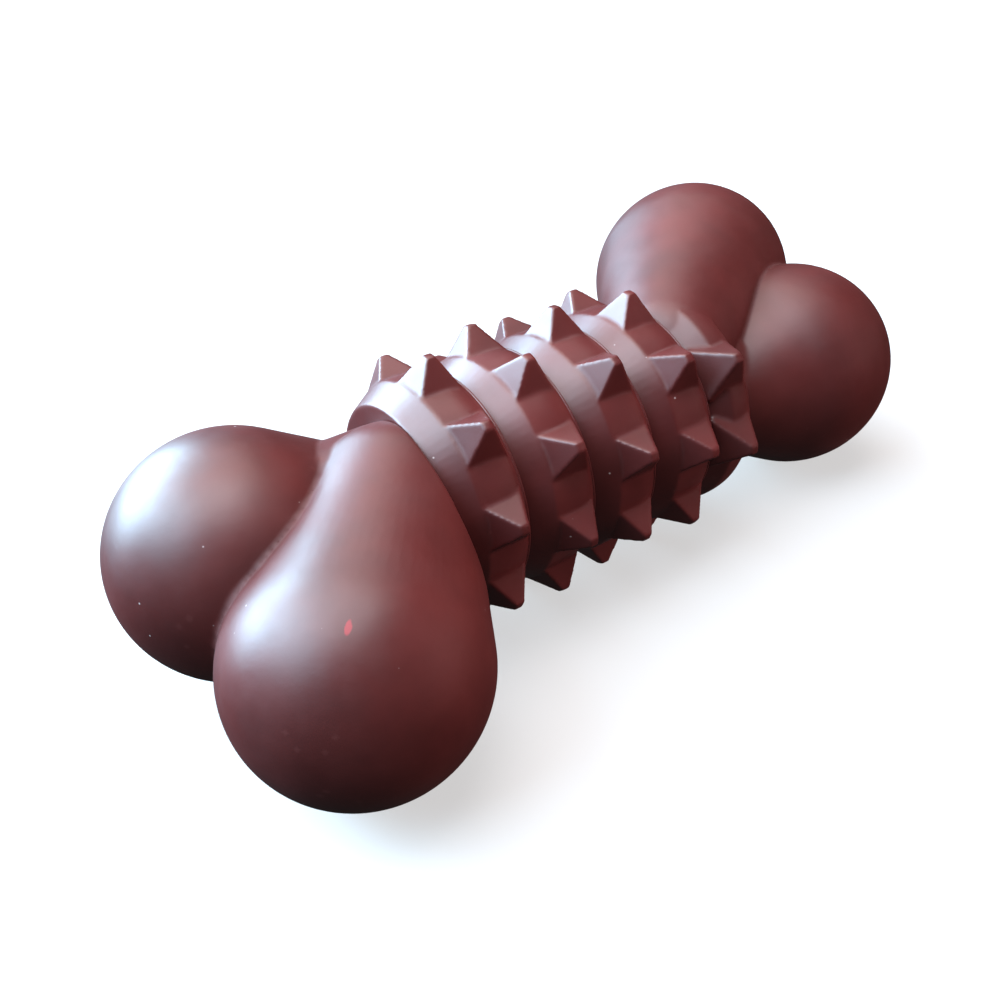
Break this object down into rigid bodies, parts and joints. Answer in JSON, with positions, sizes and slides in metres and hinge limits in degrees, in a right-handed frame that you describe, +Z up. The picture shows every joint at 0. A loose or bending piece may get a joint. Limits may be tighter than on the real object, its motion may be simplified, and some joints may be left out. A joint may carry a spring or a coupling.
{
  "type": "rubber chew toy",
  "caption": "Bone-shaped rubber dog chew: spiked rings that turn on a hidden spindle between two ends, each a pair of solid teardrop knobs.",
  "frame": {"origin": "on the ground under the middle of the toy, midway between the knobs of the two ends, with the toy lying on two spikes and one knob", "axes": "+X along the toy from the left end to the right end (the shaft dips 1.7 degrees below it to the right), +Z up, -Y towards the front knob of the left end"},
  "size_m": [0.1649, 0.0903, 0.0526],
  "materials": {
    "rubber_end": "satin",
    "rubber_ring": "satin",
    "nylon_core": "matt"
  },
  "bodies": {
    "bone": {"left_end": "rubber_end", "right_end": "rubber_end", "core_stem": "nylon_core", "socket_insert": "nylon_core"},
    "ring_1": {"ring_1": "rubber_ring"},
    "ring_2": {"ring_2": "rubber_ring"},
    "ring_3": {"ring_3": "rubber_ring"},
    "ring_4": {"ring_4": "rubber_ring"}
  },
  "joints": [
    {"name": "ring_1_turn", "type": "hinge", "parent": "bone", "child": "ring_1", "pos_m": [-0.02749, 0, 0.02602], "axis": [0.9996, 0, -0.0297], "continuous": true},
    {"name": "ring_2_turn", "type": "hinge", "parent": "bone", "child": "ring_2", "pos_m": [-0.01374, 0, 0.02561], "axis": [0.9996, 0, -0.0297], "continuous": true},
    {"name": "ring_3_turn", "type": "hinge", "parent": "bone", "child": "ring_3", "pos_m": [0, 0, 0.02521], "axis": [0.9996, 0, -0.0297], "continuous": true},
    {"name": "ring_4_turn", "type": "hinge", "parent": "bone", "child": "ring_4", "pos_m": [0.01374, 0, 0.0248], "axis": [0.9996, 0, -0.0297], "continuous": true}
  ]
}
